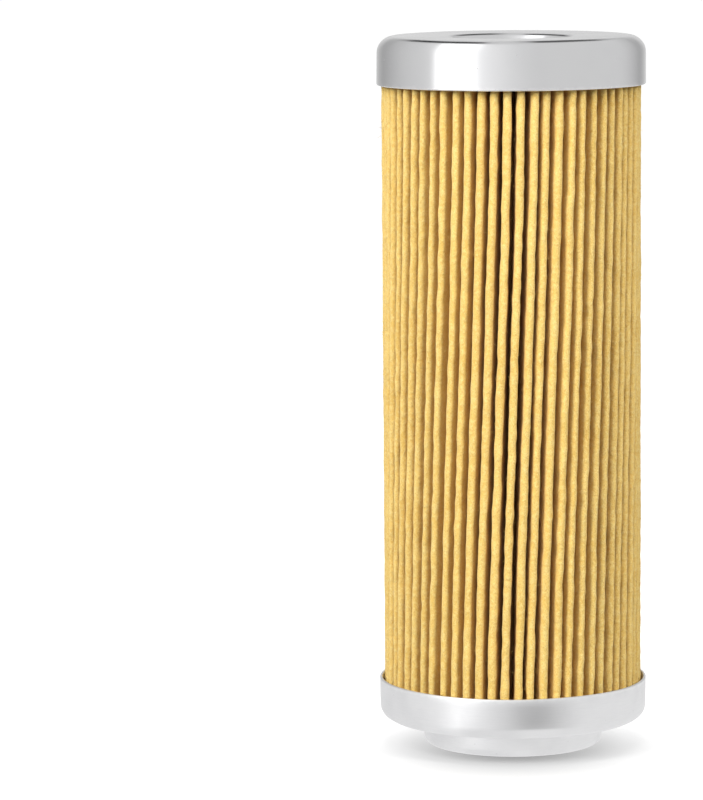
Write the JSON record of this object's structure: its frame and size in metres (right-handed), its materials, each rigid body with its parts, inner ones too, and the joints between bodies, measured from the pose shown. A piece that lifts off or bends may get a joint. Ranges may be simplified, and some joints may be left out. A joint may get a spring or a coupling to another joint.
{
  "type": "hydraulic filter element",
  "caption": "Cylindrical pleated paper filter element with two pressed metal end caps, a perforated core and an O-ring neck that seals on a housing spigot.",
  "frame": {"origin": "centre of the neck's end face, which the element stands on", "axes": "+Z along the element's axis from the neck to the closed end; the paper's side seam is towards +Y, at the back"},
  "size_m": [0.045, 0.045, 0.1193],
  "materials": {
    "cap_steel": "satin",
    "bright_steel": "bright",
    "filter_paper": "matt",
    "seam_glue": "satin",
    "black_steel": "satin",
    "seal_rubber": "satin",
    "potting_resin": "satin"
  },
  "bodies": {
    "root": {"open_end_cap": "cap_steel", "closed_end_cap": "bright_steel", "pleated_media": "filter_paper", "seam_adhesive": "seam_glue", "core_tube": "black_steel", "o_ring": "seal_rubber", "seal_retainer": "bright_steel", "lower_potting": "potting_resin", "upper_potting": "potting_resin"}
  },
  "joints": []
}
